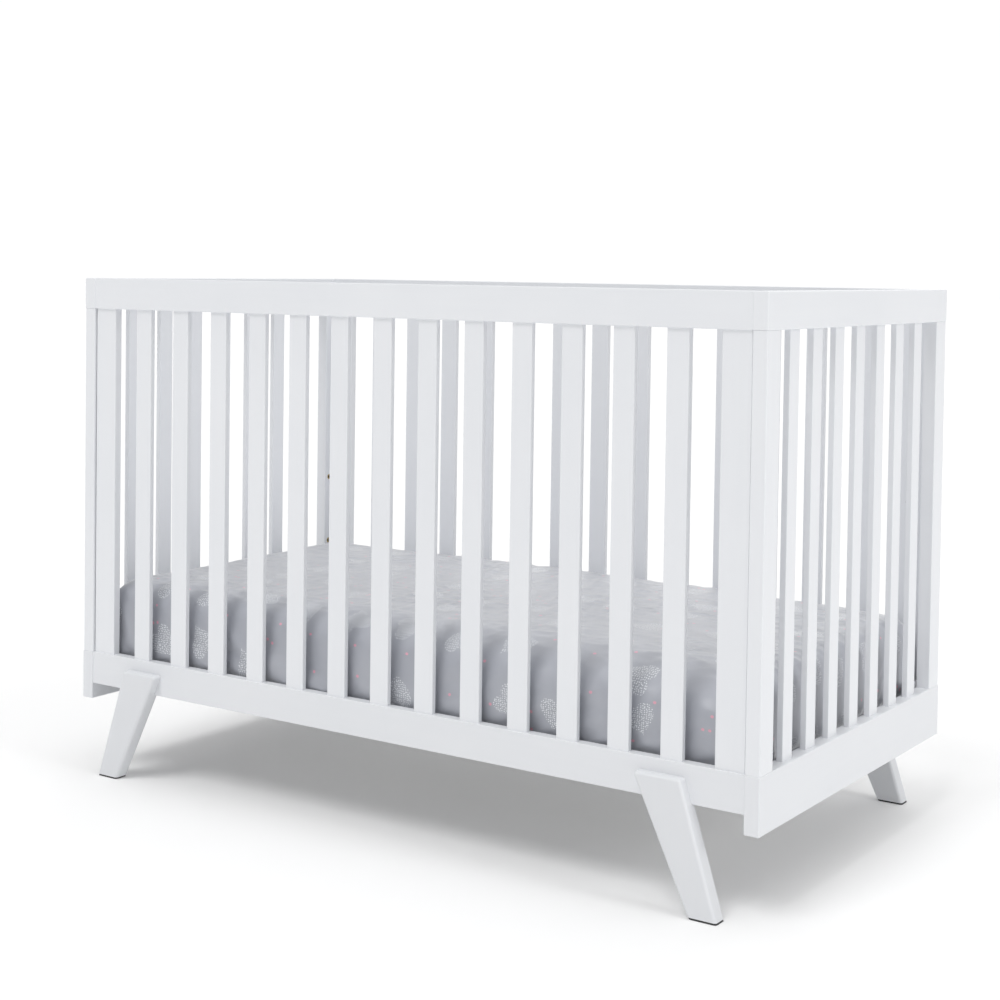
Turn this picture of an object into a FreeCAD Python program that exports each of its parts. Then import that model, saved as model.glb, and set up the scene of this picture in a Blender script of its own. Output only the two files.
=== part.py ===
import FreeCAD, Part

import os

from FreeCAD import Vector

os.makedirs("parts", exist_ok=True)

# Baby crib with fixed sides. Millimetres, origin on the floor under the middle,
# +Z up, the long front side faces -Y.

# Overall frame
LENGTH = 1384.0
WIDTH = 746.0
HEIGHT = 928.0

# End panels
END_THICK = 25.0
TOP_RAIL_HIGH = 57.0
END_BOTTOM_RAIL_Z = 136.5
BOTTOM_RAIL_TOP_Z = 225.0
POST_WIDE = 46.0
POST_INSET = 1.0
END_SLAT_COUNT = 7
END_SLAT_WIDE = 34.5
END_SLAT_PITCH = 86.0
END_SLAT_SETBACK = 9.0

# Front and back panels
PANEL_SETBACK = 2.0
PANEL_THICK = 20.0
SIDE_BOTTOM_RAIL_Z = 165.5
STILE_WIDE = 50.0
STILE_THICK = 16.0
STILE_SETBACK = 3.5
STILE_GAP = 1.2
SIDE_SLAT_COUNT = 13
SIDE_SLAT_WIDE = 37.0
SIDE_SLAT_PITCH = 90.9
SIDE_SLAT_SETBACK = 4.0

# Slats and their stub tenons
SLAT_THICK = 10.0
SLAT_ROUND = 1.2
TENON_WIDE = 24.0
TENON_THICK = 6.0
TENON_LONG = 10.0
MORTISE_PLAY = 0.15

# Edge rounding of the timber
RAIL_ROUND = 1.5
END_RAIL_ROUND = 2.0
POST_ROUND = 1.5

# Splayed legs
LEG_TOP_Z = 204.0
LEG_THICK = 29.0
LEG_PROUD = 18.0
LEG_TOP_OUTER_X = 571.0
LEG_TOP_INNER_X = 491.0
LEG_FOOT_OUTER_X = 635.0
LEG_FOOT_INNER_X = 588.0
LEG_ROUND = 5.0
LEG_CROWN_ROUND = 4.5
GLIDE_HIGH = 3.0
GLIDE_INSET = 0.6

# Mattress and its support
MATTRESS_LONG = 1310.0
MATTRESS_WIDE = 692.0
MATTRESS_BASE_Z = 212.0
MATTRESS_TOP_Z = 341.0
MATTRESS_CORNER = 32.0
MATTRESS_EDGE = 16.0
FRAME_LONG = 1290.0
FRAME_WIDE = 676.0
ANGLE = 20.0
ANGLE_THICK = 2.0
WIRE_DIA = 4.0
CROSS_WIRES = 15
LONG_WIRES = 7

# Hangers that hook over the support bolts
HANGER_THICK = 2.5
HANGER_GAP = 0.3
HANGER_TOP_Z = 236.0
HANGER_Y_IN = 268.0
HANGER_Y_ARM = 306.0
HANGER_Y_OUT = 348.5
BOLT_Y = 340.0
BOLT_Z = 213.0
BOLT_DIA = 6.0
BOLT_LONG = 18.0
BOLT_HEAD_DIA = 13.0
BOLT_HEAD_HIGH = 3.6
BOLT_SOCKET_DIA = 4.4
BOLT_SOCKET_DEEP = 2.2
SLOT_WIDE = 7.0
HANGER_DROP = 14.0
HANGER_TAB_HIGH = 12.0
WIRE_END_GAP = 5.0
SUPPORT_STEP = 140.0
SUPPORT_LEVELS = 3
INSERT_DIA = 11.0
INSERT_LONG = 13.0
INSERT_SUNK = 0.8
INSERT_BORE_PLAY = 0.2

# Panel connectors and leg bolts
STUD_DIA = 6.0
STUD_INTO_END = 14.0
STUD_INTO_PANEL = 42.0
NUT_DIA = 10.0
NUT_LONG = 15.0
NUT_FROM_END = 30.0
NUT_SUNK = 0.8
NUT_SLOT_WIDE = 7.0
NUT_SLOT_HIGH = 1.2
NUT_SLOT_DEEP = 1.2
CONNECTOR_MID_Z = 548.0
LEG_BOLT_DIA = 6.0
LEG_BOLT_HEAD_DIA = 12.0
LEG_BOLT_HEAD_HIGH = 3.0
LEG_BOLT_SOCKET_DIA = 4.0
LEG_BOLT_SOCKET_DEEP = 2.0
LEG_BOLT_BITE = 13.0
LEG_BOLT_Z = 186.0
LEG_BOLT_X = (517.0, 549.0)
HOLE_PLAY = 0.4

HALF_L = LENGTH / 2
HALF_W = WIDTH / 2
INNER_X = HALF_L - END_THICK
TOP_RAIL_Z = HEIGHT - TOP_RAIL_HIGH
PANEL_Y_OUT = HALF_W - PANEL_SETBACK
PANEL_Y_IN = PANEL_Y_OUT - PANEL_THICK
PANEL_Y_MID = (PANEL_Y_OUT + PANEL_Y_IN) / 2
X_AXIS = Vector(1, 0, 0)
Y_AXIS = Vector(0, 1, 0)
Z_AXIS = Vector(0, 0, 1)


def box(x0, x1, y0, y1, z0, z1):
    low = Vector(min(x0, x1), min(y0, y1), min(z0, z1))
    return Part.makeBox(abs(x1 - x0), abs(y1 - y0), abs(z1 - z0), low)


def long_edges(shape, axis):
    """The straight edges that run along one axis."""
    found = []
    for edge in shape.Edges:
        run = edge.Vertexes[-1].Point - edge.Vertexes[0].Point
        if run.Length > 1 and run.cross(axis).Length < 1e-4 * run.Length:
            found.append(edge)
    return found


def rounded(shape, radius, axis):
    return shape.makeFillet(radius, long_edges(shape, axis))


def eased(shape, radius):
    """All edges rounded."""
    return shape.makeFillet(radius, shape.Edges)


def cylinder(radius, start, axis, length):
    return Part.makeCylinder(radius, length, start, axis)


def save(name, shapes):
    """One part file, of one solid or of several that belong together."""
    solids = []
    for shape in shapes:
        solids.extend(shape.Solids)
    whole = solids[0] if len(solids) == 1 else Part.makeCompound(solids)
    whole.exportStep("parts/" + name + ".step")


def mirrored(shape, flip_x, flip_y):
    """A copy reflected into another quarter of the crib."""
    if flip_x:
        shape = shape.mirror(Vector(0, 0, 0), X_AXIS)
    if flip_y:
        shape = shape.mirror(Vector(0, 0, 0), Y_AXIS)
    return shape


def slat(wide_axis, centre, across, wide, z0, z1):
    """Upright slat with rounded long edges and a stub tenon on each end.

    wide_axis is "x" or "y"; centre is its place along that axis and across is
    the place of its mid thickness on the other axis.
    """
    half_w = wide / 2
    half_t = SLAT_THICK / 2
    if wide_axis == "x":
        body = box(centre - half_w, centre + half_w, across - half_t, across + half_t, z0, z1)
    else:
        body = box(across - half_t, across + half_t, centre - half_w, centre + half_w, z0, z1)
    body = rounded(body, SLAT_ROUND, Z_AXIS)
    return body.fuse(tenon_bar(wide_axis, centre, across, z0, z1, 0.0)).removeSplitter()


def tenon_bar(wide_axis, centre, across, z0, z1, play):
    """Bar as wide and thick as a tenon, long enough to reach both mortises."""
    half_w = TENON_WIDE / 2 + play
    half_t = TENON_THICK / 2 + play
    low = z0 - TENON_LONG - play
    high = z1 + TENON_LONG + play
    if wide_axis == "x":
        return box(centre - half_w, centre + half_w, across - half_t, across + half_t, low, high)
    return box(across - half_t, across + half_t, centre - half_w, centre + half_w, low, high)


def spread(count, pitch):
    return [(i - (count - 1) / 2) * pitch for i in range(count)]


END_SLATS_AT = spread(END_SLAT_COUNT, END_SLAT_PITCH)
SIDE_SLATS_AT = spread(SIDE_SLAT_COUNT, SIDE_SLAT_PITCH)
END_SLAT_X = HALF_L - END_SLAT_SETBACK - SLAT_THICK / 2
SIDE_SLAT_Y = PANEL_Y_OUT - SIDE_SLAT_SETBACK - SLAT_THICK / 2
RAIL_MID_LOW = (SIDE_BOTTOM_RAIL_Z + BOTTOM_RAIL_TOP_Z) / 2
RAIL_MID_HIGH = (TOP_RAIL_Z + HEIGHT) / 2
CONNECTOR_ZS = (RAIL_MID_LOW, CONNECTOR_MID_Z, RAIL_MID_HIGH)
SUPPORT_ZS = [BOLT_Z + SUPPORT_STEP * i for i in range(SUPPORT_LEVELS)]

# Everything below is drawn in the right-hand back quarter (+X, +Y) and
# reflected into the others.


def stud_hole(z):
    start = Vector(INNER_X - STUD_INTO_PANEL - HOLE_PLAY, PANEL_Y_MID, z)
    reach = STUD_INTO_PANEL + STUD_INTO_END + 2 * HOLE_PLAY
    return cylinder(STUD_DIA / 2 + HOLE_PLAY / 2, start, X_AXIS, reach)


def nut_hole(z):
    start = Vector(INNER_X - NUT_FROM_END, PANEL_Y_IN - 1, z)
    return cylinder(NUT_DIA / 2 + HOLE_PLAY / 2, start, Y_AXIS, NUT_LONG + 1 + HOLE_PLAY)


def insert_hole(z):
    start = Vector(INNER_X - 1, BOLT_Y, z)
    return cylinder(INSERT_DIA / 2 + HOLE_PLAY / 4, start, X_AXIS, 1 + BOLT_LONG + 2)


def leg_bolt_hole(x):
    start = Vector(x, PANEL_Y_IN - 1, LEG_BOLT_Z)
    reach = 1 + PANEL_THICK + LEG_BOLT_BITE + HOLE_PLAY
    return cylinder(LEG_BOLT_DIA / 2 + HOLE_PLAY / 2, start, Y_AXIS, reach)


def both_ends_of(tools):
    """The same cuts at the front and back of an end panel member."""
    return list(tools) + [mirrored(tool, False, True) for tool in tools]


# End panels: a full width top and bottom rail with two posts and seven slats between
end_mortises = []
for place in END_SLATS_AT:
    end_mortises.append(
        tenon_bar("y", place, END_SLAT_X, BOTTOM_RAIL_TOP_Z, TOP_RAIL_Z, MORTISE_PLAY)
    )

end_top = box(INNER_X, HALF_L, -HALF_W, HALF_W, TOP_RAIL_Z, HEIGHT)
end_top = eased(end_top, END_RAIL_ROUND)
end_top = end_top.cut(end_mortises + both_ends_of([stud_hole(RAIL_MID_HIGH)]))

end_bottom = box(INNER_X, HALF_L, -HALF_W, HALF_W, END_BOTTOM_RAIL_Z, BOTTOM_RAIL_TOP_Z)
end_bottom = eased(end_bottom, END_RAIL_ROUND)
end_bottom = end_bottom.cut(
    end_mortises + both_ends_of([stud_hole(RAIL_MID_LOW), insert_hole(BOLT_Z)])
)

post = box(
    INNER_X + POST_INSET / 2,
    HALF_L - POST_INSET,
    HALF_W - POST_INSET,
    HALF_W - POST_WIDE,
    BOTTOM_RAIL_TOP_Z,
    TOP_RAIL_Z,
)
post = rounded(post, POST_ROUND, Z_AXIS)
post = post.cut([stud_hole(CONNECTOR_MID_Z)] + [insert_hole(z) for z in SUPPORT_ZS[1:]])

for side, flip_x in (("left", True), ("right", False)):
    save(side + "_top_rail", [mirrored(end_top, flip_x, False)])
    save(side + "_bottom_rail", [mirrored(end_bottom, flip_x, False)])
    save(side + "_front_post", [mirrored(post, flip_x, True)])
    save(side + "_back_post", [mirrored(post, flip_x, False)])
    slats = []
    for place in END_SLATS_AT:
        upright = slat("y", place, END_SLAT_X, END_SLAT_WIDE, BOTTOM_RAIL_TOP_Z, TOP_RAIL_Z)
        slats.append(mirrored(upright, flip_x, False))
    save(side + "_end_slats", slats)

# Front and back panels: top rail, bottom rail, two stiles and thirteen slats
side_mortises = []
for place in SIDE_SLATS_AT:
    side_mortises.append(
        tenon_bar("x", place, SIDE_SLAT_Y, BOTTOM_RAIL_TOP_Z, TOP_RAIL_Z, MORTISE_PLAY)
    )


def both_sides_of(tools):
    """The same cuts at the left and right ends of a long rail."""
    return list(tools) + [mirrored(tool, True, False) for tool in tools]


side_top = box(-INNER_X, INNER_X, PANEL_Y_IN, PANEL_Y_OUT, TOP_RAIL_Z, HEIGHT)
side_top = rounded(side_top, RAIL_ROUND, X_AXIS)
side_top = side_top.cut(
    side_mortises + both_sides_of([stud_hole(RAIL_MID_HIGH), nut_hole(RAIL_MID_HIGH)])
)

side_bottom = box(
    -INNER_X, INNER_X, PANEL_Y_IN, PANEL_Y_OUT, SIDE_BOTTOM_RAIL_Z, BOTTOM_RAIL_TOP_Z
)
side_bottom = rounded(side_bottom, RAIL_ROUND, X_AXIS)
rail_drill = [stud_hole(RAIL_MID_LOW), nut_hole(RAIL_MID_LOW)]
rail_drill += [leg_bolt_hole(x) for x in LEG_BOLT_X]
side_bottom = side_bottom.cut(side_mortises + both_sides_of(rail_drill))

stile = box(
    INNER_X - STILE_GAP,
    INNER_X - STILE_WIDE,
    PANEL_Y_OUT - STILE_SETBACK,
    PANEL_Y_OUT - STILE_SETBACK - STILE_THICK,
    BOTTOM_RAIL_TOP_Z,
    TOP_RAIL_Z,
)
stile = rounded(stile, POST_ROUND, Z_AXIS)
stile = stile.cut([stud_hole(CONNECTOR_MID_Z), nut_hole(CONNECTOR_MID_Z)])

for face, flip_y in (("front", True), ("back", False)):
    save(face + "_top_rail", [mirrored(side_top, False, flip_y)])
    save(face + "_bottom_rail", [mirrored(side_bottom, False, flip_y)])
    save(face + "_left_stile", [mirrored(stile, True, flip_y)])
    save(face + "_right_stile", [mirrored(stile, False, flip_y)])
    for number, place in enumerate(SIDE_SLATS_AT, start=1):
        upright = slat("x", place, SIDE_SLAT_Y, SIDE_SLAT_WIDE, BOTTOM_RAIL_TOP_Z, TOP_RAIL_Z)
        save(f"{face}_slat_{number:02d}", [mirrored(upright, False, flip_y)])

# Legs: tapered, splayed blocks lapped over the face of the bottom rail, with a
# shoulder that carries the underside of the rail
LEG_Y_OUT = PANEL_Y_OUT + LEG_PROUD
LEG_Y_IN = LEG_Y_OUT - LEG_THICK


def leg_side_x(x_top, x_foot, z):
    return x_foot + (x_top - x_foot) * z / LEG_TOP_Z


def leg_block(x_outer_grow, z_low, z_high, y_low, y_high):
    """Prism that follows the splay of the leg between two heights."""
    corners = []
    for x_top, x_foot, z, grow in (
        (LEG_TOP_INNER_X, LEG_FOOT_INNER_X, z_low, x_outer_grow),
        (LEG_TOP_OUTER_X, LEG_FOOT_OUTER_X, z_low, -x_outer_grow),
        (LEG_TOP_OUTER_X, LEG_FOOT_OUTER_X, z_high, -x_outer_grow),
        (LEG_TOP_INNER_X, LEG_FOOT_INNER_X, z_high, x_outer_grow),
    ):
        corners.append(Vector(leg_side_x(x_top, x_foot, z) + grow, y_low, z))
    outline = Part.makePolygon(corners + corners[:1])
    return Part.Face(outline).extrude(Vector(0, y_high - y_low, 0))


def leaning_edges(shape):
    """The four edges that run down the leg."""
    found = []
    for edge in shape.Edges:
        run = edge.Vertexes[-1].Point - edge.Vertexes[0].Point
        if abs(run.z) > 0.5 * run.Length:
            found.append(edge)
    return found


leg = leg_block(0.0, GLIDE_HIGH, LEG_TOP_Z, LEG_Y_IN, LEG_Y_OUT)
leg = leg.makeFillet(LEG_ROUND, leaning_edges(leg))
crown = []
for edge in leg.Edges:
    middle = edge.valueAt((edge.FirstParameter + edge.LastParameter) / 2)
    if abs(middle.z - LEG_TOP_Z) < 1e-3 and middle.y > LEG_Y_OUT - LEG_PROUD + 0.5:
        crown.append(edge)
leg = leg.makeFillet(LEG_CROWN_ROUND, crown)
lap = box(0, HALF_L, 0, PANEL_Y_OUT, SIDE_BOTTOM_RAIL_Z, LEG_TOP_Z + 10)
leg = leg.cut([lap] + [leg_bolt_hole(x) for x in LEG_BOLT_X])

for face, flip_y in (("front", True), ("back", False)):
    for side, flip_x in (("left", True), ("right", False)):
        save(f"{face}_{side}_leg", [mirrored(leg, flip_x, flip_y)])

glide = leg_block(GLIDE_INSET, 0.0, GLIDE_HIGH, LEG_Y_IN + GLIDE_INSET, LEG_Y_OUT - GLIDE_INSET)
glide = glide.makeFillet(LEG_ROUND - GLIDE_INSET, leaning_edges(glide))
quarters = [(False, False), (False, True), (True, False), (True, True)]
save("foot_glides", [mirrored(glide, fx, fy) for fx, fy in quarters])

# Connectors: a stud from the end panel into a cross-drilled barrel nut in the rail or stile
studs = []
nuts = []
for z in CONNECTOR_ZS:
    start = Vector(INNER_X - STUD_INTO_PANEL, PANEL_Y_MID, z)
    stud = cylinder(STUD_DIA / 2, start, X_AXIS, STUD_INTO_PANEL + STUD_INTO_END)
    nut_start = Vector(INNER_X - NUT_FROM_END, PANEL_Y_IN + NUT_SUNK, z)
    nut = cylinder(NUT_DIA / 2, nut_start, Y_AXIS, NUT_LONG - NUT_SUNK)
    slot = box(
        INNER_X - NUT_FROM_END - NUT_SLOT_WIDE / 2,
        INNER_X - NUT_FROM_END + NUT_SLOT_WIDE / 2,
        PANEL_Y_IN,
        PANEL_Y_IN + NUT_SUNK + NUT_SLOT_DEEP,
        z - NUT_SLOT_HIGH / 2,
        z + NUT_SLOT_HIGH / 2,
    )
    nut = nut.cut([stud_hole(z), slot])
    for fx, fy in quarters:
        studs.append(mirrored(stud, fx, fy))
        nuts.append(mirrored(nut, fx, fy))
save("panel_studs", studs)
save("barrel_nuts", nuts)

# Leg bolts, heads on the inner face of the bottom rails
leg_bolts = []
for x in LEG_BOLT_X:
    shank = cylinder(
        LEG_BOLT_DIA / 2,
        Vector(x, PANEL_Y_IN, LEG_BOLT_Z),
        Y_AXIS,
        PANEL_THICK + LEG_BOLT_BITE,
    )
    head = cylinder(
        LEG_BOLT_HEAD_DIA / 2,
        Vector(x, PANEL_Y_IN - LEG_BOLT_HEAD_HIGH, LEG_BOLT_Z),
        Y_AXIS,
        LEG_BOLT_HEAD_HIGH,
    )
    socket = cylinder(
        LEG_BOLT_SOCKET_DIA / 2,
        Vector(x, PANEL_Y_IN - LEG_BOLT_HEAD_HIGH, LEG_BOLT_Z),
        Y_AXIS,
        LEG_BOLT_SOCKET_DEEP,
    )
    bolt = shank.fuse(head).removeSplitter().cut(socket)
    for fx, fy in quarters:
        leg_bolts.append(mirrored(bolt, fx, fy))
save("leg_bolts", leg_bolts)

# Threaded inserts for the three mattress heights, and the bolts in the lowest set
inserts = []
for z in SUPPORT_ZS:
    outer = cylinder(INSERT_DIA / 2, Vector(INNER_X + INSERT_SUNK, BOLT_Y, z), X_AXIS, INSERT_LONG)
    bore_start = Vector(INNER_X - 1, BOLT_Y, z)
    bore = cylinder(BOLT_DIA / 2 + INSERT_BORE_PLAY, bore_start, X_AXIS, INSERT_LONG + 4)
    insert = outer.cut(bore)
    for fx, fy in quarters:
        inserts.append(mirrored(insert, fx, fy))
save("height_inserts", inserts)

HEAD_X = INNER_X - 2 * HANGER_GAP - HANGER_THICK
bolt_shank = cylinder(BOLT_DIA / 2, Vector(HEAD_X, BOLT_Y, BOLT_Z), X_AXIS, BOLT_LONG)
bolt_head = cylinder(
    BOLT_HEAD_DIA / 2,
    Vector(HEAD_X - BOLT_HEAD_HIGH, BOLT_Y, BOLT_Z),
    X_AXIS,
    BOLT_HEAD_HIGH,
)
bolt_socket = cylinder(
    BOLT_SOCKET_DIA / 2,
    Vector(HEAD_X - BOLT_HEAD_HIGH, BOLT_Y, BOLT_Z),
    X_AXIS,
    BOLT_SOCKET_DEEP,
)
support_bolt = bolt_shank.fuse(bolt_head).removeSplitter().cut(bolt_socket)
save("support_bolts", [mirrored(support_bolt, fx, fy) for fx, fy in quarters])

# Mattress support: welded angle steel frame, wire grid and four hook-on hangers
WIRE_Z = MATTRESS_BASE_Z - WIRE_DIA / 2
FRAME_TOP_Z = MATTRESS_BASE_Z - WIRE_DIA
FRAME_LOW_Z = FRAME_TOP_Z - ANGLE
FRAME_HALF_L = FRAME_LONG / 2
FRAME_HALF_W = FRAME_WIDE / 2


def ring(half_x, half_y, wall, z0, z1):
    outside = box(-half_x, half_x, -half_y, half_y, z0, z1)
    inside = box(-half_x + wall, half_x - wall, -half_y + wall, half_y - wall, z0 - 1, z1 + 1)
    return outside.cut(inside)


# Angle steel all round, one leg flat on top, and a flat bar across the middle
skirt = ring(FRAME_HALF_L, FRAME_HALF_W, ANGLE_THICK, FRAME_LOW_Z, FRAME_TOP_Z)
flange = ring(FRAME_HALF_L, FRAME_HALF_W, ANGLE, FRAME_TOP_Z - ANGLE_THICK, FRAME_TOP_Z)
brace = box(
    -ANGLE / 2,
    ANGLE / 2,
    -FRAME_HALF_W + ANGLE_THICK,
    FRAME_HALF_W - ANGLE_THICK,
    FRAME_TOP_Z - 2 * ANGLE_THICK,
    FRAME_TOP_Z - ANGLE_THICK,
)
save("support_frame", [skirt.fuse([flange, brace]).removeSplitter()])

# Wire grid, laid on the flat leg of the frame and welded at every crossing
wires = []
for x in spread(CROSS_WIRES, (FRAME_LONG - 2 * ANGLE) / (CROSS_WIRES + 1)):
    start = Vector(x, -FRAME_HALF_W + WIRE_END_GAP, WIRE_Z)
    wires.append(cylinder(WIRE_DIA / 2, start, Y_AXIS, FRAME_WIDE - 2 * WIRE_END_GAP))
for y in spread(LONG_WIRES, (FRAME_WIDE - 2 * ANGLE) / (LONG_WIRES + 1)):
    start = Vector(-FRAME_HALF_L + WIRE_END_GAP, y, WIRE_Z)
    wires.append(cylinder(WIRE_DIA / 2, start, X_AXIS, FRAME_LONG - 2 * WIRE_END_GAP))
grid = wires[0].fuse(wires[1:]).removeSplitter()
save("support_wires", [grid])

# Each hanger is one bent strip: a slotted plate beside the post, a foot under the
# frame and a short tab up the inside of the frame
plate_x1 = INNER_X - HANGER_GAP
plate_x0 = plate_x1 - HANGER_THICK
foot_z0 = FRAME_LOW_Z - HANGER_THICK
tab_x1 = FRAME_HALF_L - ANGLE_THICK
tab_x0 = tab_x1 - HANGER_THICK
plate = box(plate_x0, plate_x1, HANGER_Y_IN, HANGER_Y_OUT, BOLT_Z - HANGER_DROP, HANGER_TOP_Z)
arm = box(plate_x0, plate_x1, HANGER_Y_IN, HANGER_Y_ARM, foot_z0, HANGER_TOP_Z)
foot = box(tab_x0, plate_x1, HANGER_Y_IN, HANGER_Y_ARM, foot_z0, FRAME_LOW_Z)
tab = box(tab_x0, tab_x1, HANGER_Y_IN, HANGER_Y_ARM, foot_z0, FRAME_LOW_Z + HANGER_TAB_HIGH)
hook = box(plate_x0 - 1, plate_x1 + 1, BOLT_Y - SLOT_WIDE / 2, BOLT_Y + SLOT_WIDE / 2, 0, BOLT_Z)
hook_top = cylinder(SLOT_WIDE / 2, Vector(plate_x0 - 1, BOLT_Y, BOLT_Z), X_AXIS, HANGER_THICK + 2)
hanger = plate.fuse([arm, foot, tab]).removeSplitter().cut([hook, hook_top])
save("support_hangers", [mirrored(hanger, fx, fy) for fx, fy in quarters])

# Mattress, plain block with rounded corners and edges
mattress = box(
    -MATTRESS_LONG / 2,
    MATTRESS_LONG / 2,
    -MATTRESS_WIDE / 2,
    MATTRESS_WIDE / 2,
    MATTRESS_BASE_Z,
    MATTRESS_TOP_Z,
)
mattress = rounded(mattress, MATTRESS_CORNER, Z_AXIS)
rims = []
for edge in mattress.Edges:
    middle = edge.valueAt((edge.FirstParameter + edge.LastParameter) / 2)
    if min(abs(middle.z - MATTRESS_BASE_Z), abs(middle.z - MATTRESS_TOP_Z)) < 1e-3:
        rims.append(edge)
mattress = mattress.makeFillet(MATTRESS_EDGE, rims)
save("mattress", [mattress])
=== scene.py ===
import math

import bmesh
import bpy
import numpy as np
from mathutils import Matrix, Vector, noise


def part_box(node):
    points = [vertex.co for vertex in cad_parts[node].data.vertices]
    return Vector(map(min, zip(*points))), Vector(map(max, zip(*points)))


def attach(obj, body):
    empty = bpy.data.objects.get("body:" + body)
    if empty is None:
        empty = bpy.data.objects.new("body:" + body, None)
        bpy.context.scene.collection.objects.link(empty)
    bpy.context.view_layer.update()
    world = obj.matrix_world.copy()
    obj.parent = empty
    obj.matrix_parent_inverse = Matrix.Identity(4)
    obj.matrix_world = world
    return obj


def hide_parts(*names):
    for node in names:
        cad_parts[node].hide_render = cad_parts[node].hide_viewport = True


# A white slatted baby crib with splayed legs, and a mattress under a printed fitted sheet.

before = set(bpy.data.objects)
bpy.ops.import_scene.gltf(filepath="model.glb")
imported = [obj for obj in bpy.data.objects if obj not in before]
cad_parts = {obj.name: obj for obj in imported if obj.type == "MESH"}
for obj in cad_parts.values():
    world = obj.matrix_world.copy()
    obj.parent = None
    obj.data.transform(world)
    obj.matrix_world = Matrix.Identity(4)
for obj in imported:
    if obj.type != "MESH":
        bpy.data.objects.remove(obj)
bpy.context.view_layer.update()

# ---------------------------------------------------------------- camera

CAMERA_PLACE = (1.7784, -2.7621, 0.9565)
CAMERA_YAW = math.radians(-35.568)
CAMERA_PITCH = math.radians(1.949)
CAMERA_ROLL = math.radians(0.7075)
CAMERA_SENSOR = 36
CAMERA_LENS = 64.81
CAMERA_SHIFT = (0.085, -0.172)
CAMERA_REACH = 200


def make_camera():
    """A camera at CAMERA_PLACE, turned from +Y by yaw, tipped down by pitch, then rolled."""
    ahead = Vector(
        (
            math.sin(CAMERA_YAW) * math.cos(CAMERA_PITCH),
            math.cos(CAMERA_YAW) * math.cos(CAMERA_PITCH),
            -math.sin(CAMERA_PITCH),
        )
    )
    level = Vector((math.cos(CAMERA_YAW), -math.sin(CAMERA_YAW), 0))
    above = level.cross(ahead)
    across = math.cos(CAMERA_ROLL) * level + math.sin(CAMERA_ROLL) * above
    up = math.cos(CAMERA_ROLL) * above - math.sin(CAMERA_ROLL) * level
    data = bpy.data.cameras.new("camera")
    data.sensor_width = CAMERA_SENSOR
    data.lens = CAMERA_LENS
    data.shift_x, data.shift_y = CAMERA_SHIFT
    data.clip_end = CAMERA_REACH
    camera = bpy.data.objects.new("camera", data)
    turn = Matrix((across, up, -ahead)).transposed()
    camera.matrix_world = Matrix.Translation(CAMERA_PLACE) @ turn.to_4x4()
    bpy.context.scene.collection.objects.link(camera)
    bpy.context.scene.camera = camera


make_camera()
bpy.context.scene.view_settings.view_transform = "Standard"


# ---------------------------------------------------------------- node helpers


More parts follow.
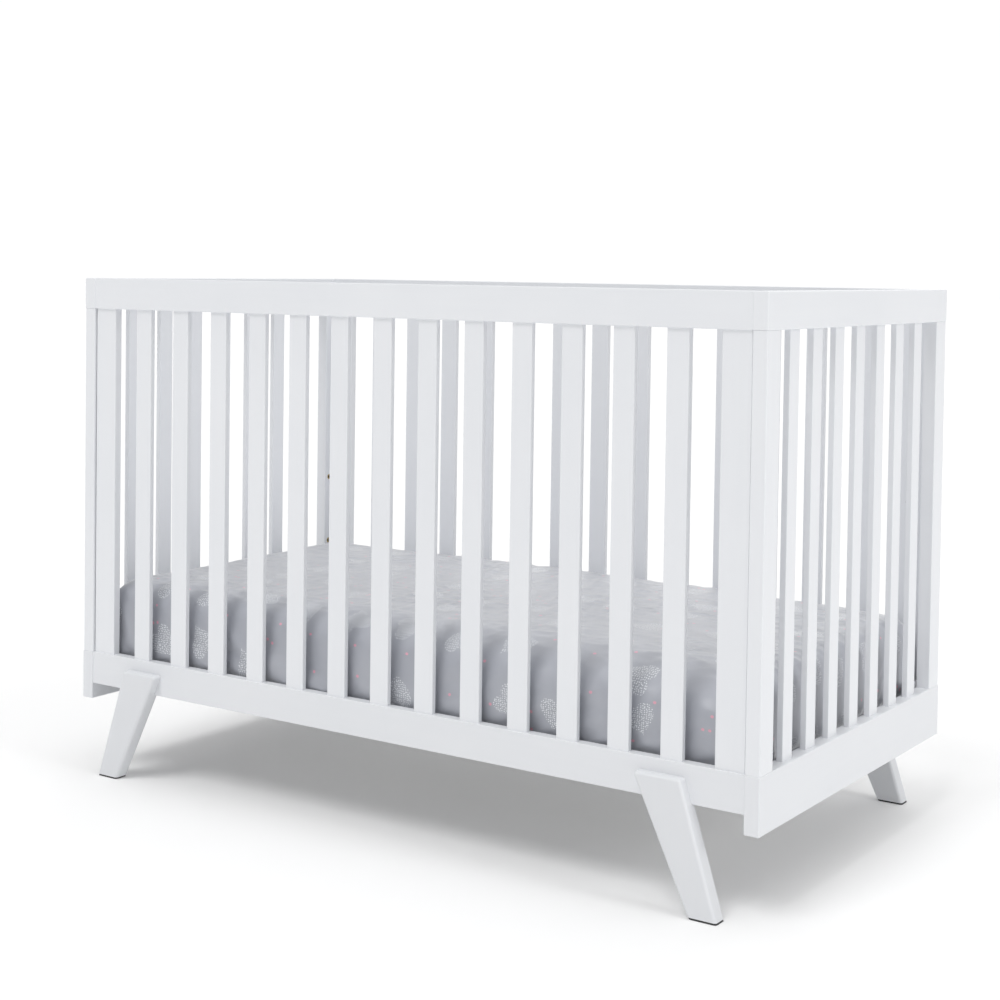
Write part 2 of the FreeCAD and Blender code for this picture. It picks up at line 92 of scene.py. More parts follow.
class Tree:
    """A material's node tree, with short ways to add and join nodes."""

    def __init__(self, name):
        self.material = bpy.data.materials.new(name)
        self.material.use_nodes = True
        self.nodes = self.material.node_tree.nodes
        self.links = self.material.node_tree.links
        self.shader = self.nodes["Principled BSDF"]

    def add(self, kind, inputs=(), **settings):
        """A node; inputs are (socket name or number, value or socket)."""
        node = self.nodes.new(kind)
        for key, value in settings.items():
            setattr(node, key, value)
        for socket, value in inputs:
            self.put(node.inputs[socket], value)
        return node

    def put(self, socket, value):
        if isinstance(value, bpy.types.NodeSocket):
            self.links.new(value, socket)
        else:
            socket.default_value = value

    def math(self, operation, *values):
        return self.add("ShaderNodeMath", enumerate(values), operation=operation).outputs[0]

    def vector(self, operation, *values, scale=None):
        node = self.add("ShaderNodeVectorMath", enumerate(values), operation=operation)
        if scale is not None:
            self.put(node.inputs["Scale"], scale)
        return node.outputs["Vector"]

    def place(self, scale=(1, 1, 1)):
        """Object coordinates in metres, stretched by scale."""
        start = self.add("ShaderNodeTexCoord").outputs["Object"]
        return self.add("ShaderNodeMapping", [("Vector", start), ("Scale", scale)]).outputs[0]

    def noise(self, vector, scale, detail, roughness):
        node = self.add(
            "ShaderNodeTexNoise",
            [("Vector", vector), ("Scale", scale), ("Detail", detail), ("Roughness", roughness)],
        )
        return node.outputs["Fac"]

    def wave(self, vector, scale, direction, distortion=0.0, detail_scale=1.0):
        node = self.add(
            "ShaderNodeTexWave",
            [
                ("Vector", vector),
                ("Scale", scale),
                ("Distortion", distortion),
                ("Detail Scale", detail_scale),
            ],
            bands_direction=direction,
        )
        return node.outputs["Fac"]

    def cells(self, vector, pitch, scatter):
        """Flat cells about pitch metres apart, moved out of their grid by scatter."""
        return self.add(
            "ShaderNodeTexVoronoi",
            [("Vector", vector), ("Scale", 1 / pitch), ("Randomness", scatter)],
            voronoi_dimensions="2D",
        )

    def turned_cell(self, vector, cell):
        """The place inside a cell, turned by the cell's own chance, and its chance numbers."""
        local = self.vector("SUBTRACT", vector, cell.outputs["Position"])
        chance = self.add("ShaderNodeSeparateColor", [("Color", cell.outputs["Color"])]).outputs
        angle = self.math("MULTIPLY", chance[0], 2 * math.pi)
        turned = self.add(
            "ShaderNodeVectorRotate",
            [("Vector", local), ("Angle", angle)],
            rotation_type="Z_AXIS",
        )
        return turned.outputs[0], chance

    def squares(self, first, second):
        """The sum of two squares."""
        return self.math(
            "ADD", self.math("POWER", first, 2.0), self.math("POWER", second, 2.0)
        )

    def between(self, value, low, high, to_low=0.0, to_high=1.0):
        node = self.add(
            "ShaderNodeMapRange",
            [("Value", value), ("From Min", low), ("From Max", high)],
        )
        node.inputs["To Min"].default_value = to_low
        node.inputs["To Max"].default_value = to_high
        return node.outputs[0]

    def mix(self, share, first, second):
        """A colour from first (share 0) to second (share 1)."""
        node = self.add("ShaderNodeMix", data_type="RGBA")
        self.put(node.inputs["Factor"], share)
        for socket, value in ((node.inputs[6], first), (node.inputs[7], second)):
            self.put(socket, value)
        return node.outputs[2]

    def bump(self, height, strength, distance):
        node = self.add(
            "ShaderNodeBump", [("Height", height), ("Strength", strength), ("Distance", distance)]
        )
        return node.outputs[0]

    def set(self, **values):
        """Sets or links the shader's sockets, an underscore standing for a space."""
        for key, value in values.items():
            self.put(self.shader.inputs[key.replace("_", " ")], value)
        return self.material


def rgb(red, green, blue):
    return (red, green, blue, 1.0)


# ---------------------------------------------------------------- materials of the hard parts

PAINT = (0.832, 0.845, 0.869)
PAINT_COOL = (0.805, 0.820, 0.848)
# Painted shade: these factors darken the white paint on the low rails and the legs, standing in
# for the dimmer light low down.
LOW_RAIL_PAINTED_SHADE = 0.955
LEG_PAINTED_SHADE = 0.91
ALONG_GRAIN = 0.045
STREAK_IN_TONE = 0.4
GRAIN_IN_SHINE = 0.5
GRAIN_IN_HEIGHT = 0.7
PEEL_IN_HEIGHT = 0.3

NYLON_BLACK = rgb(0.016, 0.016, 0.018)
NYLON_DUSTY = rgb(0.045, 0.044, 0.043)
COAT_DEEP = rgb(0.50, 0.51, 0.535)
COAT_PALE = rgb(0.57, 0.58, 0.60)
ZINC_DEEP = rgb(0.56, 0.57, 0.57)
ZINC_PALE = rgb(0.68, 0.68, 0.66)
WRENCH_MARKS = (40, 40, 900)
BRASS_BRIGHT = rgb(0.74, 0.57, 0.26)
BRASS_DULL = rgb(0.60, 0.45, 0.21)
TURNING_MARKS = (900, 60, 60)


def white_paint(name, along, painted_shade=1.0):
    """Satin white paint over wood whose grain runs along one axis (0, 1 or 2); a factor below 1
    darkens it as painted shade.
    """
    t = Tree(name)
    stretch = [1.0, 1.0, 1.0]
    stretch[along] = ALONG_GRAIN
    grain_place = t.place(stretch)
    plain_place = t.place()
    grain = t.noise(grain_place, scale=420, detail=4, roughness=0.6)
    clouds = t.noise(plain_place, scale=5.0, detail=3, roughness=0.55)
    peel = t.noise(plain_place, scale=900, detail=2, roughness=0.5)
    streak = t.noise(grain_place, scale=90, detail=3, roughness=0.5)
    cloudy_streak = t.math("ADD", clouds, t.math("MULTIPLY", streak, STREAK_IN_TONE))
    tone = t.between(cloudy_streak, low=0.45, high=0.95)
    # Both paint tones are darkened by the factor: painted shade on the same paint as elsewhere.
    cool, warm = (rgb(*(painted_shade * c for c in paint)) for paint in (PAINT_COOL, PAINT))
    cloudy_grain = t.math("ADD", clouds, t.math("MULTIPLY", grain, GRAIN_IN_SHINE))
    height = t.math(
        "ADD",
        t.math("MULTIPLY", grain, GRAIN_IN_HEIGHT),
        t.math("MULTIPLY", peel, PEEL_IN_HEIGHT),
    )
    return t.set(
        Base_Color=t.mix(tone, cool, warm),
        Roughness=t.between(cloudy_grain, low=0.4, high=1.1, to_low=0.33, to_high=0.47),
        Normal=t.bump(height, strength=0.35, distance=0.00012),
        Specular_IOR_Level=0.45,
    )


def moulded_plastic():
    """Fine sparked black nylon of the foot glides."""
    t = Tree("glide_nylon")
    place = t.place()
    spark = t.noise(place, scale=1600, detail=2, roughness=0.6)
    dust = t.noise(place, scale=60, detail=4, roughness=0.6)
    return t.set(
        Base_Color=t.mix(t.between(dust, low=0.5, high=0.75), NYLON_BLACK, NYLON_DUSTY),
        Roughness=t.between(dust, low=0.3, high=0.8, to_low=0.42, to_high=0.62),
        Normal=t.bump(spark, strength=0.5, distance=0.0002),
    )


def powder_coat():
    """Grey powder coat on the mattress support, with its orange peel."""
    t = Tree("powder_coat")
    place = t.place()
    peel = t.noise(place, scale=520, detail=3, roughness=0.55)
    clouds = t.noise(place, scale=9, detail=3, roughness=0.5)
    return t.set(
        Base_Color=t.mix(t.between(clouds, low=0.3, high=0.7), COAT_DEEP, COAT_PALE),
        Roughness=t.between(peel, low=0.3, high=0.7, to_low=0.36, to_high=0.5),
        Normal=t.bump(peel, strength=0.4, distance=0.00025),
    )


def zinc_plate():
    """Bright zinc plate with a faint spangle and wrench marks."""
    t = Tree("zinc_plate")
    spangle = t.noise(t.place(), scale=350, detail=3, roughness=0.6)
    marks = t.noise(t.place(WRENCH_MARKS), scale=1.0, detail=2, roughness=0.5)
    wear = t.math("ADD", spangle, marks)
    return t.set(
        Base_Color=t.mix(t.between(spangle, low=0.35, high=0.65), ZINC_DEEP, ZINC_PALE),
        Metallic=1.0,
        Roughness=t.between(wear, low=0.7, high=1.3, to_low=0.24, to_high=0.44),
        Normal=t.bump(marks, strength=0.25, distance=0.0001),
    )


def turned_brass():
    """Machined brass of the threaded inserts, a little dulled."""
    t = Tree("turned_brass")
    turning = t.noise(t.place(TURNING_MARKS), scale=1.0, detail=2, roughness=0.5)
    dull = t.noise(t.place(), scale=180, detail=3, roughness=0.6)
    wear = t.math("ADD", turning, dull)
    return t.set(
        Base_Color=t.mix(t.between(dull, low=0.35, high=0.7), BRASS_BRIGHT, BRASS_DULL),
        Metallic=1.0,
        Roughness=t.between(wear, low=0.7, high=1.3, to_low=0.26, to_high=0.46),
        Normal=t.bump(turning, strength=0.3, distance=0.0001),
    )


def finish_cad_nodes():
    """Gives every CAD node that stays in sight its own detailed material."""
    paints = [white_paint("white_paint_" + axis, i) for i, axis in enumerate("xyz")]
    # The low rails and the legs get darker copies of the same paint: painted shade.
    low_paints_painted_shade = [
        white_paint("painted_shade_low_rail_" + axis, i, LOW_RAIL_PAINTED_SHADE) for i, axis in enumerate("xy")
    ]
    painted_shade_legs = white_paint("painted_shade_legs", 2, LEG_PAINTED_SHADE)
    glide, coat, zinc, brass = moulded_plastic(), powder_coat(), zinc_plate(), turned_brass()
    hardware = {
        "foot_glides": glide,
        "support_frame": coat,
        "support_wires": coat,
        "support_hangers": coat,
        "panel_studs": zinc,
        "barrel_nuts": zinc,
        "leg_bolts": zinc,
        "support_bolts": zinc,
        "height_inserts": brass,
    }
    for name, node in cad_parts.items():
        if name == "mattress":
            continue
        along = 0 if name.split("_")[0] in ("front", "back") else 1
        if name in hardware:
            material = hardware[name]
        elif name.endswith("bottom_rail"):
            material = low_paints_painted_shade[along]
        elif name.endswith("rail"):
            material = paints[along]
        elif name.endswith("leg"):
            material = painted_shade_legs
        else:
            material = paints[2]
        node.data.materials.clear()
        node.data.materials.append(material)
        for face in node.data.polygons:
            face.material_index = 0


finish_cad_nodes()

# ---------------------------------------------------------------- studio

SURROUND_LIGHT = 0.46
SURROUND_SEEN = 1.02
WHITE = rgb(1, 1, 1)
FLOOR_REACH = 60.0
FLOOR_DEEP = rgb(0.88, 0.88, 0.88)
FLOOR_PALE = rgb(0.90, 0.90, 0.90)
FLOOR_GLOW = 0.06


def lamp(name, energy, size, azimuth, elevation):
    """A far soft light; azimuth 0 comes from the front, 90 from the right-hand end."""
    data = bpy.data.lights.new(name, "SUN")
    data.energy = energy
    data.angle = math.radians(size)
    light = bpy.data.objects.new(name, data)
    a = math.radians(azimuth)
    e = math.radians(elevation)
    source = Vector((math.sin(a) * math.cos(e), -math.cos(a) * math.cos(e), math.sin(e)))
    light.rotation_euler = source.to_track_quat("Z", "Y").to_euler()
    bpy.context.scene.collection.objects.link(light)


def make_world():
    """An even surround: white behind the object, and softer as a source of light."""
    world = bpy.data.worlds.new("surround")
    bpy.context.scene.world = world
    world.use_nodes = True
    nodes = world.node_tree.nodes
    links = world.node_tree.links
    fill = nodes["Background"]
    seen = nodes.new("ShaderNodeBackground")
    for background, strength in ((fill, SURROUND_LIGHT), (seen, SURROUND_SEEN)):
        background.inputs["Color"].default_value = WHITE
        background.inputs["Strength"].default_value = strength
    path = nodes.new("ShaderNodeLightPath")
    mix = nodes.new("ShaderNodeMixShader")
    links.new(path.outputs["Is Camera Ray"], mix.inputs[0])
    links.new(fill.outputs[0], mix.inputs[1])
    links.new(seen.outputs[0], mix.inputs[2])
    links.new(mix.outputs[0], nodes["World Output"].inputs["Surface"])


def make_floor():
    """A wide pale floor with very faint clouds."""
    corners = [(-1, -1, 0), (1, -1, 0), (1, 1, 0), (-1, 1, 0)]
    mesh = bpy.data.meshes.new("floor")
    mesh.from_pydata([Vector(c) * FLOOR_REACH for c in corners], [], [(0, 1, 2, 3)])
    floor = bpy.data.objects.new("floor", mesh)
    bpy.context.scene.collection.objects.link(floor)
    t = Tree("floor_white")
    clouds = t.noise(t.place(), scale=0.8, detail=3, roughness=0.5)
    t.set(
        Base_Color=t.mix(clouds, FLOOR_DEEP, FLOOR_PALE),
        Roughness=0.9,
        Specular_IOR_Level=0.1,
        Emission_Color=WHITE,
        Emission_Strength=FLOOR_GLOW,
    )
    mesh.materials.append(t.material)


def make_studio():
    """A pale floor, an even white surround and four broad soft lights."""
    make_world()
    lamp("overhead", energy=0.75, size=62, azimuth=90, elevation=82)
    lamp("rim", energy=0.55, size=58, azimuth=190, elevation=31)
    lamp("key", energy=1.00, size=24, azimuth=-5, elevation=57)
    lamp("side", energy=0.62, size=14, azimuth=90, elevation=24)
    make_floor()


make_studio()

# ---------------------------------------------------------------- mattress

MAT_LOW, MAT_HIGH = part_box("mattress")
HALF = (MAT_HIGH - MAT_LOW) / 2
MIDDLE = (MAT_HIGH + MAT_LOW) / 2
CLOTH_GAP = 0.003
CORE_ROUND = 0.023
CORE_STEP = 0.016
CORE_INSET = Vector((0.003, 0.008, 0.003))
CROWN_LEFT = 0.015
CROWN_RIGHT = 0.008
CROWN_MIDDLE = 0.018
FRONT_ROLL_DEPTH = 0.012
FRONT_ROLL_DEEPER_RIGHT = 0.034
FRONT_ROLL_WIDTH = 0.065
FRONT_ROLL_WIDER_RIGHT = 0.060
BACK_ROLL_DEPTH = 0.010
BACK_ROLL_WIDTH = 0.050
END_ROLL_DEEPER_RIGHT = 0.006
END_ROLL_WIDTH = 0.045
ROLL_POWER = 2.2
BASE_FLAT_SHIFT = 10
TICKING_DEEP = rgb(0.78, 0.78, 0.77)
TICKING_PALE = rgb(0.88, 0.88, 0.87)
TICKING_WEAVE = 180.0


def rounded_block(name, half, radius, step, base_rows=None):
    """Even quads over a rounded block about the origin.

    With base_rows the underside keeps only that many rows of faces round its rim,
    as a fitted sheet does. Each face corner also gets flat-cloth coordinates in
    metres: the sides are folded out from the top, and the underside lies apart.
    """
    counts = [max(2, round(2 * h / step)) for h in half]
    verts, index = [], {}

    def vertex(i, j, k):
        key = (i, j, k)
        if key not in index:
            index[key] = len(verts)
            p = [(-1 + 2 * c / n) * h for c, n, h in zip(key, counts, half)]
            inner = [max(-h + radius, min(h - radius, q)) for q, h in zip(p, half)]
            away = Vector(p) - Vector(inner)
            if away.length > 0:
                verts.append(Vector(inner) + away.normalized() * radius)
            else:
                verts.append(Vector(p))
        return index[key]

    faces, flats = [], []
    nx, ny, nz = counts
    sx, sy, sz = (2 * h / n for h, n in zip(half, counts))
    hx, hy, hz = half

    def quad(corners, flat):
        faces.append([vertex(*c) for c in corners])
        flats.extend(flat)

    for i in range(nx):
        for j in range(ny):
            x0, y0 = -hx + i * sx, -hy + j * sy
            square = [(x0, y0), (x0 + sx, y0), (x0 + sx, y0 + sy), (x0, y0 + sy)]
            quad([(i, j, nz), (i + 1, j, nz), (i + 1, j + 1, nz), (i, j + 1, nz)], square)
            rim = min(i, j, nx - 1 - i, ny - 1 - j)
            if base_rows is None or rim < base_rows:
                apart = [(u, v + BASE_FLAT_SHIFT) for u, v in square]
                quad(
                    [(i, j, 0), (i, j + 1, 0), (i + 1, j + 1, 0), (i + 1, j, 0)],
                    [apart[0], apart[3], apart[2], apart[1]],
                )
    for k in range(nz):
        down0, down1 = (nz - k) * sz, (nz - k - 1) * sz
        for i in range(nx):
            x0, x1 = -hx + i * sx, -hx + (i + 1) * sx
            quad(
                [(i, 0, k), (i + 1, 0, k), (i + 1, 0, k + 1), (i, 0, k + 1)],
                [(x0, -hy - down0), (x1, -hy - down0), (x1, -hy - down1), (x0, -hy - down1)],
            )
            quad(
                [(i + 1, ny, k), (i, ny, k), (i, ny, k + 1), (i + 1, ny, k + 1)],
                [(x1, hy + down0), (x0, hy + down0), (x0, hy + down1), (x1, hy + down1)],
            )
        for j in range(ny):
            y0, y1 = -hy + j * sy, -hy + (j + 1) * sy
            quad(
                [(0, j + 1, k), (0, j, k), (0, j, k + 1), (0, j + 1, k + 1)],
                [(-hx - down0, y1), (-hx - down0, y0), (-hx - down1, y0), (-hx - down1, y1)],
            )
            quad(
                [(nx, j, k), (nx, j + 1, k), (nx, j + 1, k + 1), (nx, j, k + 1)],
                [(hx + down0, y0), (hx + down0, y1), (hx + down1, y1), (hx + down1, y0)],
            )
    mesh = bpy.data.meshes.new(name)
    mesh.from_pydata(verts, [], faces)
    layer = mesh.uv_layers.new(name="flat_cloth")
    layer.data.foreach_set("uv", np.array(flats, np.float32).ravel())
    mesh.polygons.foreach_set("use_smooth", [True] * len(mesh.polygons))
    piece = bpy.data.objects.new(name, mesh)
    bpy.context.scene.collection.objects.link(piece)
    return piece


def per_vertex(mesh, field):
    """One row of three numbers per vertex: its "co" or its "normal"."""
    rows = np.empty(len(mesh.vertices) * 3)
    mesh.vertices.foreach_get(field, rows)
    return rows.reshape(-1, 3)


def set_coordinates(mesh, co):
    mesh.vertices.foreach_set("co", co.astype(np.float32).ravel())
    mesh.update()


def plump(piece, half):
    """Crowns the top along its length, rolls its edges down, and sets the piece in place.

    The front edge rolls deeper and wider toward the right. The underside stays flat.
    """
    co = per_vertex(piece.data, "co")
    along = co[:, 0] / half[0]
    right = (1 + along) / 2
    rolls = (
        (
            half[1] + co[:, 1],
            FRONT_ROLL_DEPTH + FRONT_ROLL_DEEPER_RIGHT * right,
            FRONT_ROLL_WIDTH + FRONT_ROLL_WIDER_RIGHT * right,
        ),
        (half[1] - co[:, 1], BACK_ROLL_DEPTH, BACK_ROLL_WIDTH),
        (half[0] - np.abs(co[:, 0]), END_ROLL_DEEPER_RIGHT * right, END_ROLL_WIDTH),
    )
    end = CROWN_LEFT + (CROWN_RIGHT - CROWN_LEFT) * right
    lift = end + (CROWN_MIDDLE - end) * (1 - along**2)
    for inside, depth, width in rolls:
        lift = lift - depth * np.clip(1 - inside / width, 0, 1) ** ROLL_POWER
    co[:, 2] += lift * np.clip((co[:, 2] + half[2]) / (2 * half[2]), 0, 1)
    set_coordinates(piece.data, co + np.array(MIDDLE))


def cover_cloth():
    """White woven ticking of the bare mattress."""
    t = Tree("mattress_ticking")
    place = t.place()
    weave = t.math(
        "MULTIPLY", t.wave(place, TICKING_WEAVE, "X"), t.wave(place, TICKING_WEAVE, "Y")
    )
    slub = t.noise(place, scale=240, detail=3, roughness=0.6)
    return t.set(
        Base_Color=t.mix(t.between(slub, low=0.3, high=0.7), TICKING_DEEP, TICKING_PALE),
        Roughness=t.between(slub, low=0.2, high=0.8, to_low=0.78, to_high=0.92),
        Normal=t.bump(t.math("ADD", weave, slub), strength=0.4, distance=0.0004),
        Sheen_Weight=0.2,
    )


core_half = HALF - CORE_INSET
core = rounded_block("mattress_core", core_half, CORE_ROUND, CORE_STEP)
plump(core, core_half)
core.data.materials.append(cover_cloth())
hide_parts("mattress")
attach(core, "mattress")

# ---------------------------------------------------------------- fitted sheet: shape

SHEET_STEP = 0.0105
TUCK_ROWS = 6
SHEET_SLACK = 0.04
SHEET_FRAMES = 26
DRAPE_CAP = 0.012
SEED_HEIGHT = 0.0015
SEED_WAVE = (28, 28, 28)
HEM_DEPTH = 0.9
TINY = 1e-9
SIDE_LIMIT_X = 0.6625
SIDE_LIMIT_Y = 0.3500
BASE_LIMIT_Z = MAT_LOW.z + 0.0001

# Noise waves are cells per metre along x, y and z; an offset takes the noise from elsewhere.
PATCH_WAVE = (5, 5, 5)
SWAY_WAVE = (6, 6, 6)
SWAY_REACH = np.array([0.0, 0.035, 0.0])
BROAD_WAVE = (9, 23, 9)
BROAD_HEIGHT = 0.0016
RIDGE_WAVE = (17, 44, 14)
RIDGE_HEIGHT = 0.0022
RIDGE_OFFSET = 7
FINE_WAVE = (34, 80, 20)
FINE_HEIGHT = 0.0009
FINE_OFFSET = 3
RIPPLE_BARE = 0.55
RIPPLE_PATCH = 1.3
PUCKER_WAVE = (26, 26, 3)
SMALL_PUCKER_WAVE = (58, 58, 6)
SMALL_PUCKER_SHARE = 0.5
SMALL_PUCKER_OFFSET = 3
PUCKER_HEIGHT = 0.0024
PUCKER_BARE = 0.45
PUCKER_REACH = 0.32
PUCKER_OFF_TOP = 1.4
# Gathers run down the sides; their second place number only tells the four sides apart.
GATHER_SWAY_WAVE = (4.5, 4.5, 4.5)
GATHER_SWAY = 0.11
GATHER_WAVE = (13, 1, 9)
GATHER_HEIGHT = 0.0052
SMALL_GATHER_WAVE = (27, 1, 14)
SMALL_GATHER_HEIGHT = 0.0034
SMALL_GATHER_OFFSET = 5
GATHER_NARROW = 3.0
GATHER_POWER = 1.4
GATHER_DOWN = 0.1
GATHER_TOP = 0.30
GATHER_FADE = 0.55
GATHER_FADE_POWER = 1.3
GATHER_PATCH_WAVE = (6, 1, 3)
GATHER_PATCH = 1.2
GATHER_PATCH_OFFSET = 9
GATHER_BARE = 0.5
GATHER_LEAST = 0.1
FRONT_AND_BACK_KEY = 3
ENDS_KEY = 7

HEM_ROUND = 0.0021
HEM_SIDES = 8
HEM_FLAT = 1.5
HEM_SWELLS = ((0.25, 1.9), (0.15, 0.77))


def noise_at(points, wave):
    """Smooth noise about zero at each point."""
    kx, ky, kz = wave
    return np.array([noise.noise(Vector((x * kx, y * ky, z * kz))) for x, y, z in points])


def drape(sheet, core):
    """Lets a sheet that is cut a little roomy settle over the mattress, held at its hem."""
    mesh = sheet.data
    co = per_vertex(mesh, "co")
    local = co - np.array(MIDDLE)
    rim = np.minimum(HALF.x - np.abs(local[:, 0]), HALF.y - np.abs(local[:, 1]))
    hem = (local[:, 2] < -HEM_DEPTH * HALF.z) & (rim > (TUCK_ROWS - 0.5) * SHEET_STEP)
    pins = sheet.vertex_groups.new(name="hem")
    pins.add([int(i) for i in np.nonzero(hem)[0]], 1.0, "REPLACE")
    seed = SEED_HEIGHT * (1 + noise_at(co, SEED_WAVE))
    start = co + per_vertex(mesh, "normal") * seed[:, None]
    start[hem] = co[hem]
    set_coordinates(mesh, start)
    wall = core.modifiers.new("wall", "COLLISION")
    core.collision.thickness_outer = 0.001
    core.collision.cloth_friction = 1.0
    cloth = sheet.modifiers.new("cloth", "CLOTH")
    settings = cloth.settings
    settings.quality = 6
    settings.mass = 0.12
    settings.tension_stiffness = 18
    settings.compression_stiffness = 12
    settings.shear_stiffness = 6
    settings.bending_stiffness = 0.06
    settings.tension_damping = 8
    settings.compression_damping = 8
    settings.vertex_group_mass = "hem"
    settings.shrink_min = -SHEET_SLACK
    settings.effector_weights.gravity = 0.3
    cloth.collision_settings.distance_min = 0.0015
    cloth.collision_settings.use_self_collision = False
    cloth.point_cache.frame_end = SHEET_FRAMES
    scene = bpy.context.scene
    for step in range(1, SHEET_FRAMES + 1):
        scene.frame_set(step)
    settled = sheet.evaluated_get(bpy.context.evaluated_depsgraph_get())
    shift = per_vertex(settled.data, "co") - co
    far = np.linalg.norm(shift, axis=1, keepdims=True)
    shift *= np.minimum(1, DRAPE_CAP / np.maximum(far, TINY))
    sheet.modifiers.remove(cloth)
    core.modifiers.remove(wall)
    sheet.vertex_groups.clear()
    set_coordinates(mesh, co + shift)
    scene.frame_set(1)


def refine(piece):
    """One subdivision, applied."""
    piece.modifiers.new("smooth", "SUBSURF").levels = 1
    evaluated = piece.evaluated_get(bpy.context.evaluated_depsgraph_get())
    mesh = bpy.data.meshes.new_from_object(evaluated)
    piece.modifiers.clear()
    piece.data = mesh


def ripples(co):
    """Soft ridges across the top of the sheet, stronger in patches."""
    sway = noise_at(co, SWAY_WAVE)[:, None] * SWAY_REACH
    broad = (1 - np.abs(noise_at(co + sway, BROAD_WAVE))) ** 2
    ridge = (1 - np.abs(noise_at(co + sway + RIDGE_OFFSET, RIDGE_WAVE))) ** 3
    fine = (1 - np.abs(noise_at(co + 2 * sway + FINE_OFFSET, FINE_WAVE))) ** 3
    patch = np.clip(RIPPLE_BARE + RIPPLE_PATCH * noise_at(co, PATCH_WAVE), 0, 1)
    return BROAD_HEIGHT * broad + patch * (RIDGE_HEIGHT * ridge + FINE_HEIGHT * fine)


def puckers(co, depth):
    """Short pulls over the upper edges; depth is 0 at the top and 1 at the base."""
    small = noise_at(co + SMALL_PUCKER_OFFSET, SMALL_PUCKER_WAVE)
    pull = noise_at(co, PUCKER_WAVE) + SMALL_PUCKER_SHARE * small
    patch = np.clip(PUCKER_BARE + noise_at(co, PATCH_WAVE), 0, 1)
    near_edge = np.exp(-((depth / PUCKER_REACH) ** 2)) * patch
    return PUCKER_HEIGHT * pull * near_edge


def gather_ridges(spot, wave):
    """Narrow rounded ridges where the noise passes through zero."""
    sharp = 1 - GATHER_NARROW * np.abs(noise_at(spot, wave))
    return np.clip(sharp, 0, 1) ** GATHER_POWER


def gathers(co, local, away, depth):
    """Upright gathers low on the sides, where the elastic draws the cloth in."""
    facing_x = np.abs(away[:, 0]) > np.abs(away[:, 1])
    along = np.where(facing_x, local[:, 1], local[:, 0])
    along = along + GATHER_SWAY * noise_at(co, GATHER_SWAY_WAVE) * (1 - depth)
    front_or_back = FRONT_AND_BACK_KEY * np.sign(local[:, 1]) * ~facing_x
    left_or_right = ENDS_KEY * np.sign(local[:, 0]) * facing_x
    spot = np.stack([along, front_or_back + left_or_right, GATHER_DOWN * depth], axis=1)
    large = GATHER_HEIGHT * gather_ridges(spot, GATHER_WAVE)
    small = SMALL_GATHER_HEIGHT * gather_ridges(spot + SMALL_GATHER_OFFSET, SMALL_GATHER_WAVE)
    low = np.clip((depth - GATHER_TOP) / GATHER_FADE, 0, 1) ** GATHER_FADE_POWER
    patch_noise = noise_at(spot + GATHER_PATCH_OFFSET, GATHER_PATCH_WAVE)
    patch = np.clip(GATHER_BARE + GATHER_PATCH * patch_noise, GATHER_LEAST, 1)
    return low * patch * (large + small)


def crease(sheet):
    """Soft ripples on the top, puckers over its edges and gathers low on the sides."""
    mesh = sheet.data
    co = per_vertex(mesh, "co")
    local = co - np.array(MIDDLE)
    away = per_vertex(mesh, "normal")
    top = np.clip(away[:, 2], 0, 1) ** 2
    side = 1 - np.abs(away[:, 2])
    depth = np.clip((HALF.z - local[:, 2]) / (2 * HALF.z), 0, 1)
    rise = top * ripples(co)
    rise += puckers(co, depth) * np.clip(PUCKER_OFF_TOP - top, 0, 1)
    rise += side * gathers(co, local, away, depth)
    set_coordinates(mesh, co + away * rise[:, None])


def keep_clear(mesh):
    """Keeps the cloth inside the rails and hangers and above the support wires."""
    co = per_vertex(mesh, "co")
    co[:, 0] = np.clip(co[:, 0], -SIDE_LIMIT_X, SIDE_LIMIT_X)
    co[:, 1] = np.clip(co[:, 1], -SIDE_LIMIT_Y, SIDE_LIMIT_Y)
    co[:, 2] = np.maximum(co[:, 2], BASE_LIMIT_Z)
    set_coordinates(mesh, co)


def hem_loop(mesh):
    """The free edge of the sheet, in order."""
    work = bmesh.new()
    work.from_mesh(mesh)
    edge = next(e for e in work.edges if e.is_boundary)
    first = edge.verts[0]
    at = first
    points = []
    while True:
        points.append(at.co.copy())
        at = edge.other_vert(at)
        if at == first:
            break
        edge = next(e for e in at.link_edges if e.is_boundary and e != edge)
    work.free()
    return points


def hem_piece(sheet, material):
    """The gathered elastic edge, a puckered roll along the free edge of the sheet."""
    points = hem_loop(sheet.data)
    count = len(points)
    up = Vector((0, 0, 1))
    verts, faces = [], []
    for i, point in enumerate(points):
        ahead = (points[(i + 1) % count] - points[i - 1]).normalized()
        side = ahead.cross(up).normalized()
        swell = HEM_ROUND * (1 + sum(size * math.sin(i * pace) for size, pace in HEM_SWELLS))
        centre = Vector((point.x, point.y, BASE_LIMIT_Z + swell))
        for k in range(HEM_SIDES):
            a = 2 * math.pi * k / HEM_SIDES
            outward = side * (HEM_FLAT * swell * math.cos(a))
            verts.append(centre + outward + up * (swell * math.sin(a)))
    for i in range(count):
        here = i * HEM_SIDES
        after = (i + 1) % count * HEM_SIDES
        for k in range(HEM_SIDES):
            above = (k + 1) % HEM_SIDES
            faces.append((here + k, after + k, after + above, here + above))
    mesh = bpy.data.meshes.new("sheet_hem")
    mesh.from_pydata(verts, [], faces)
    mesh.polygons.foreach_set("use_smooth", [True] * len(faces))
    mesh.materials.append(material)
    piece = bpy.data.objects.new("sheet_hem", mesh)
    bpy.context.scene.collection.objects.link(piece)
    return piece


# ---------------------------------------------------------------- fitted sheet: cloth and print

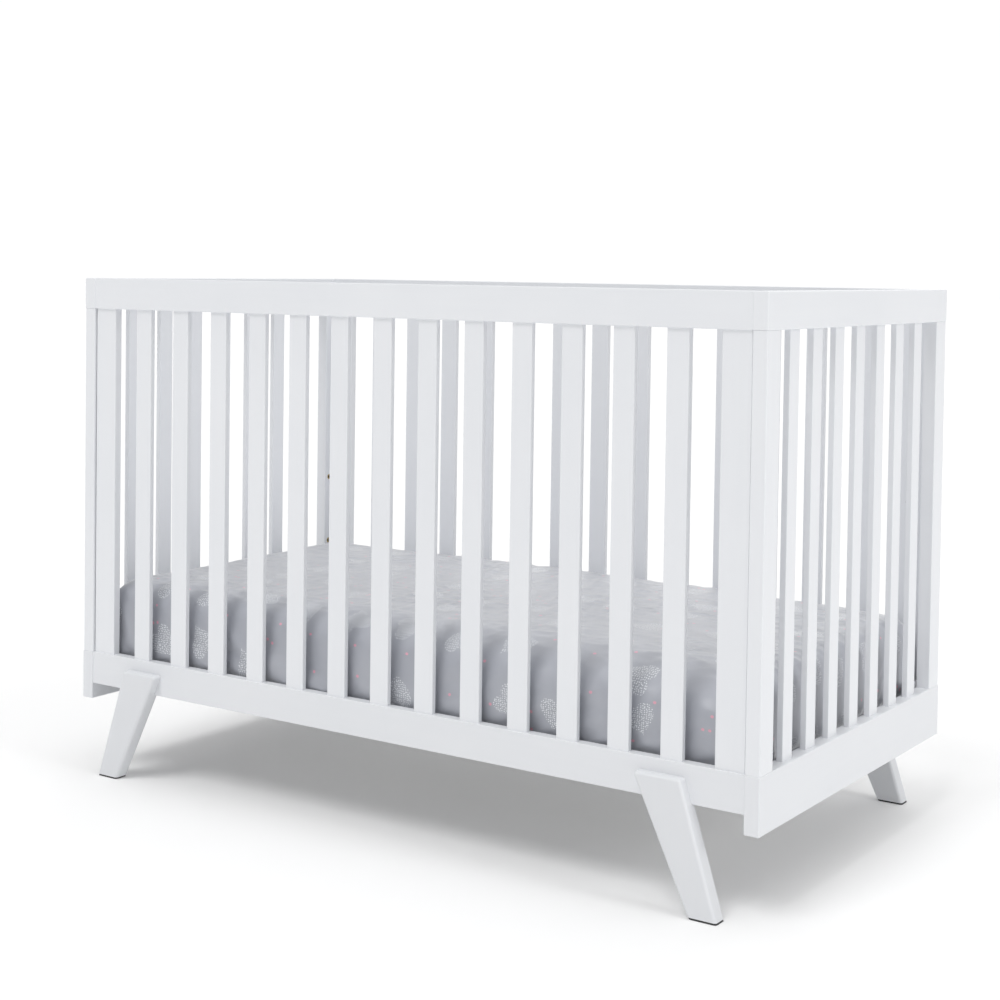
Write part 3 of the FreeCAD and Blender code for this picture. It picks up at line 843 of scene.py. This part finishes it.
SHEET_BASE = rgb(0.415, 0.428, 0.470)
SHEET_SHADE = rgb(0.382, 0.396, 0.441)
DOT_WHITE = rgb(0.78, 0.80, 0.82)
DOT_PINK = rgb(0.74, 0.37, 0.45)
HEART_CELL = 0.108
HEART_SCATTER = 0.4
HEART_HALF = 0.029
HEART_CLEFT = 0.85
HEART_SQUAT = 1.2
HEART_LEFT_OUT = 0.24
DOT_PITCH = 0.0038
DOT_SCATTER = 0.5
DOT_OUTER = 0.34
DOT_INNER = 0.22
SPOT_CELL = 0.074
SPOT_SCATTER = 0.8
SPOT_SHIFT = (0.037, 0.061, 0)
SPOT_RADIUS = 0.0029
SPOT_OUTER = 1.1
SPOT_INNER = 0.85
SPOT_SINGLE = 0.62
SPOT_APART = 0.0058
TWILL_SCALE = 260.0
TWILL_IN_HEIGHT = 0.5


def dotted_hearts(t, flat):
    """Where hearts lie, and where the small dots that fill them lie."""
    cell = t.cells(flat, HEART_CELL, HEART_SCATTER)
    turned, chance = t.turned_cell(flat, cell)
    sized = t.vector("SCALE", turned, scale=1 / HEART_HALF)
    part = t.add("ShaderNodeSeparateXYZ", [("Vector", sized)]).outputs
    across = t.math("ABSOLUTE", part[0])
    lobe = t.math("MULTIPLY", t.math("SQRT", across), HEART_CLEFT)
    high = t.math("SUBTRACT", t.math("MULTIPLY", part[1], HEART_SQUAT), lobe)
    outline = t.squares(across, t.math("ABSOLUTE", high))
    inside = t.math("LESS_THAN", outline, 1.0)
    printed = t.math("GREATER_THAN", chance[1], HEART_LEFT_OUT)
    heart = t.math("MULTIPLY", inside, printed)
    dot = t.cells(flat, DOT_PITCH, DOT_SCATTER).outputs["Distance"]
    dotted = t.math("MULTIPLY", heart, t.between(dot, low=DOT_OUTER, high=DOT_INNER))
    return heart, dotted


def pink_spots(t, flat, heart):
    """Where the pink dots lie between the hearts, some alone and some in pairs."""
    shifted = t.vector("ADD", flat, SPOT_SHIFT)
    cell = t.cells(shifted, SPOT_CELL, SPOT_SCATTER)
    turned, chance = t.turned_cell(shifted, cell)
    part = t.add("ShaderNodeSeparateXYZ", [("Vector", turned)]).outputs
    paired = t.math("GREATER_THAN", chance[1], SPOT_SINGLE)
    apart = t.math("MULTIPLY", paired, SPOT_APART)
    from_dot = t.math("ABSOLUTE", t.math("SUBTRACT", t.math("ABSOLUTE", part[0]), apart))
    reach = t.math("SQRT", t.squares(from_dot, t.math("ABSOLUTE", part[1])))
    spot = t.between(reach, low=SPOT_RADIUS * SPOT_OUTER, high=SPOT_RADIUS * SPOT_INNER)
    return t.math("MULTIPLY", spot, t.math("LESS_THAN", heart, 0.5))


def sheet_cloth():
    """Grey sateen printed with hearts of small white dots, and with pink dots."""
    t = Tree("sheet_sateen")
    flat = t.add("ShaderNodeUVMap", uv_map="flat_cloth").outputs[0]
    clouds = t.noise(flat, scale=14, detail=3, roughness=0.6)
    slub = t.noise(flat, scale=900, detail=2, roughness=0.6)
    base = t.mix(t.between(clouds, low=0.3, high=0.7), SHEET_SHADE, SHEET_BASE)
    heart, dotted = dotted_hearts(t, flat)
    colour = t.mix(dotted, base, DOT_WHITE)
    colour = t.mix(pink_spots(t, flat, heart), colour, DOT_PINK)
    twill = t.wave(flat, TWILL_SCALE, "DIAGONAL", distortion=1.2, detail_scale=2.0)
    height = t.math("ADD", t.math("MULTIPLY", twill, TWILL_IN_HEIGHT), slub)
    return t.set(
        Base_Color=colour,
        Roughness=t.between(slub, low=0.2, high=0.8, to_low=0.40, to_high=0.54),
        Normal=t.bump(height, strength=0.25, distance=0.0003),
        Specular_IOR_Level=0.5,
        Sheen_Weight=1.0,
        Sheen_Roughness=0.34,
        Coat_Weight=1.0,
        Coat_Roughness=0.38,
    )


def hem_cloth():
    """The same grey sateen, plain and closely gathered."""
    t = Tree("hem_sateen")
    close = t.noise(t.place(), scale=420, detail=3, roughness=0.6)
    return t.set(
        Base_Color=t.mix(t.between(close, low=0.3, high=0.7), SHEET_SHADE, SHEET_BASE),
        Roughness=t.between(close, low=0.2, high=0.8, to_low=0.45, to_high=0.6),
        Normal=t.bump(close, strength=0.6, distance=0.0006),
        Sheen_Weight=0.5,
        Sheen_Roughness=0.4,
    )


sheet_half = core_half + Vector((CLOTH_GAP,) * 3)
sheet = rounded_block("fitted_sheet", sheet_half, CORE_ROUND + CLOTH_GAP, SHEET_STEP, TUCK_ROWS)
plump(sheet, sheet_half)
drape(sheet, core)
refine(sheet)
crease(sheet)
keep_clear(sheet.data)
sheet.data.materials.append(sheet_cloth())
hem = hem_piece(sheet, hem_cloth())
for cloth_piece in (sheet, hem):
    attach(cloth_piece, "mattress")
